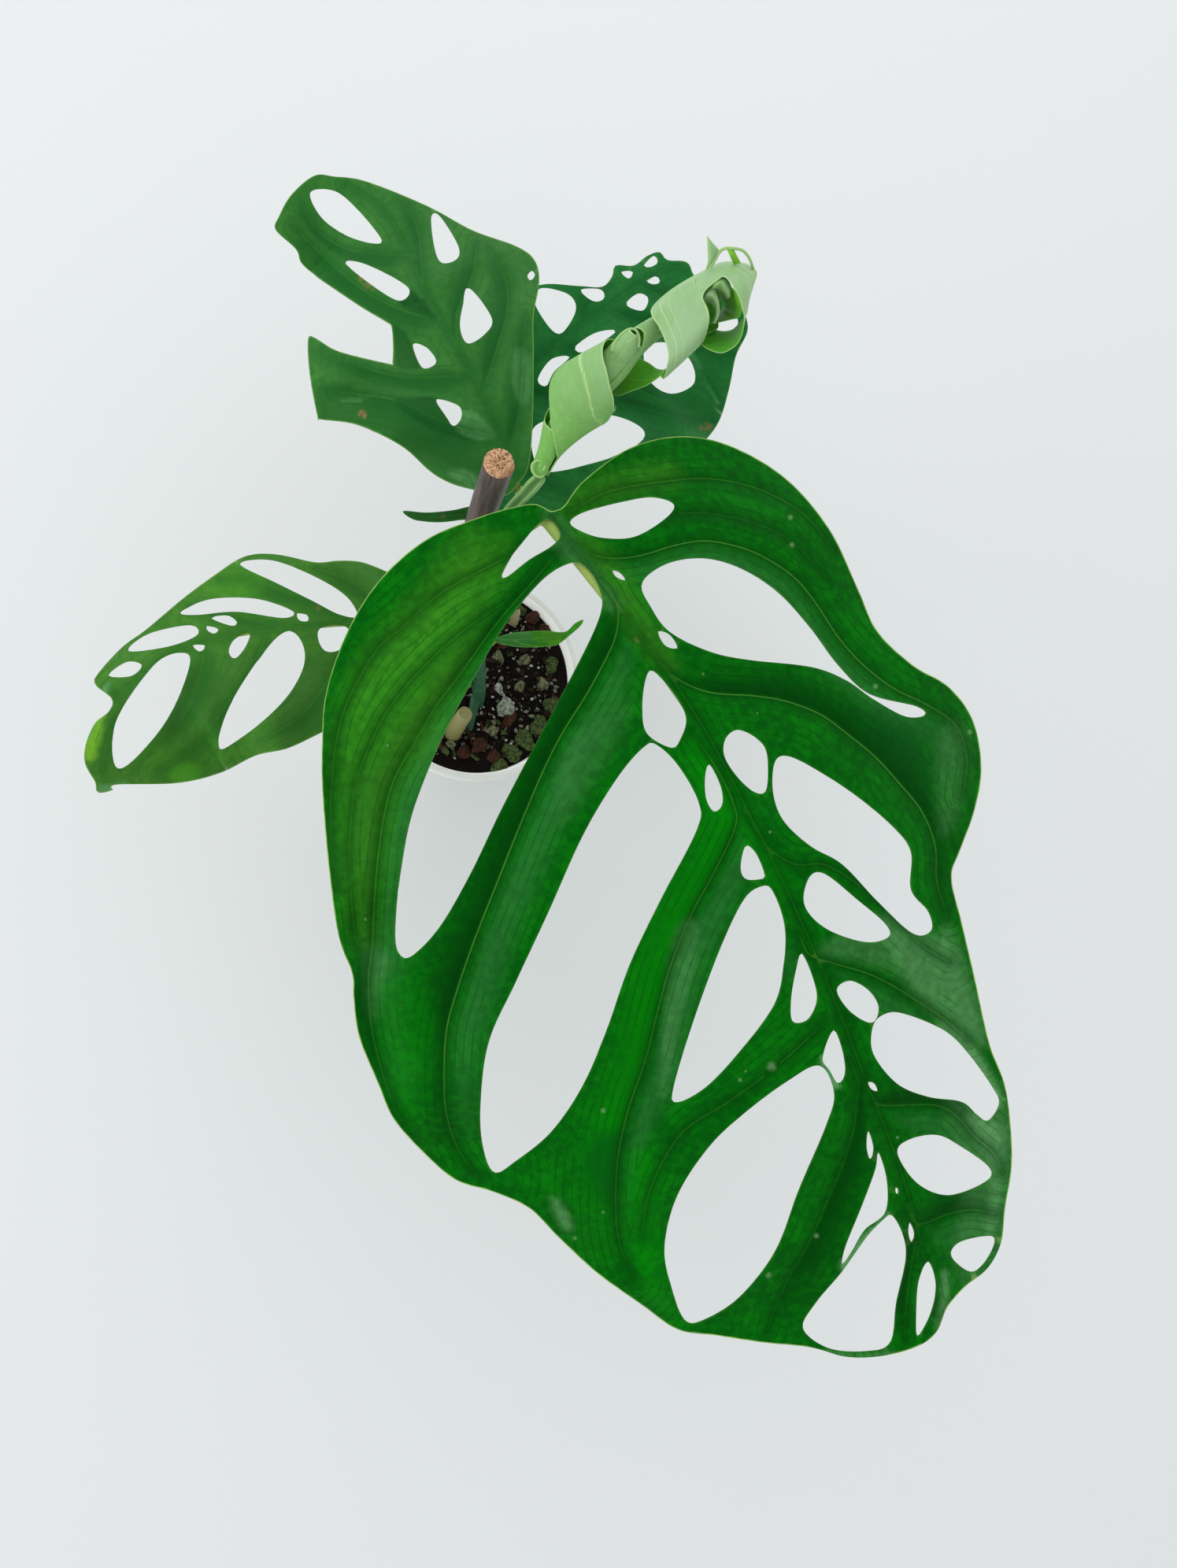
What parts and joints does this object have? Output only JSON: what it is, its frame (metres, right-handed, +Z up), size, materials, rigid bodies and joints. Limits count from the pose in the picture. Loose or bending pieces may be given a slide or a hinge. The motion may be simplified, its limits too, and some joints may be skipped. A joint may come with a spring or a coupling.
{
  "type": "potted plant",
  "caption": "Young climbing aroid with slit and holed leaves on long stalks beside a wooden stake, rooted in the bark soil of a round tapered nursery pot.",
  "frame": {"origin": "centre of the pot's flat underside, on the surface that it stands on", "axes": "+Z up along the pot's axis, +Y towards the back leaves and away from the tip of the large front leaf, +X to the viewer's right"},
  "size_m": [0.3468, 0.4605, 0.3745],
  "materials": {
    "pot": "satin white moulded plastic",
    "soil": "damp chunky bark mix with a few white grains",
    "stake": "dark weathered wood, bare at the cut top",
    "stem": "smooth dark green living stem",
    "stub": "tan and green old stem with a pale cut top",
    "dry_sheath": "papery pale dry leaf sheath",
    "leaf_front": "satin green leaf with sunken veins and a pale margin",
    "leaf_back_left": "satin green leaf with sunken veins",
    "leaf_back_right": "satin dark green leaf",
    "leaf_left": "satin green leaf with yellow-green patches",
    "leaf_young": "satin bright green leaf",
    "leaf_strap": "satin green leaf",
    "new_leaf": "soft light green leaf that is still rolled",
    "stalk": "smooth yellow-green leaf stalk"
  },
  "bodies": {
    "root": {"pot": "pot", "soil": "soil", "stake": "stake", "stem": "stem", "stub": "stub", "dry_sheath": "dry_sheath", "front_leaf": "leaf_front", "back_left_leaf": "leaf_back_left", "back_right_leaf": "leaf_back_right", "left_leaf": "leaf_left", "young_leaf": "leaf_young", "strap_leaf": "leaf_strap", "new_leaf": "new_leaf", "new_leaf_core": "new_leaf", "front_leaf_stalk": "stalk", "back_left_leaf_stalk": "stalk", "back_right_leaf_stalk": "stalk", "left_leaf_stalk": "stalk", "young_leaf_stalk": "stalk", "strap_leaf_stalk": "stalk", "new_leaf_stalk": "stalk"}
  },
  "joints": []
}
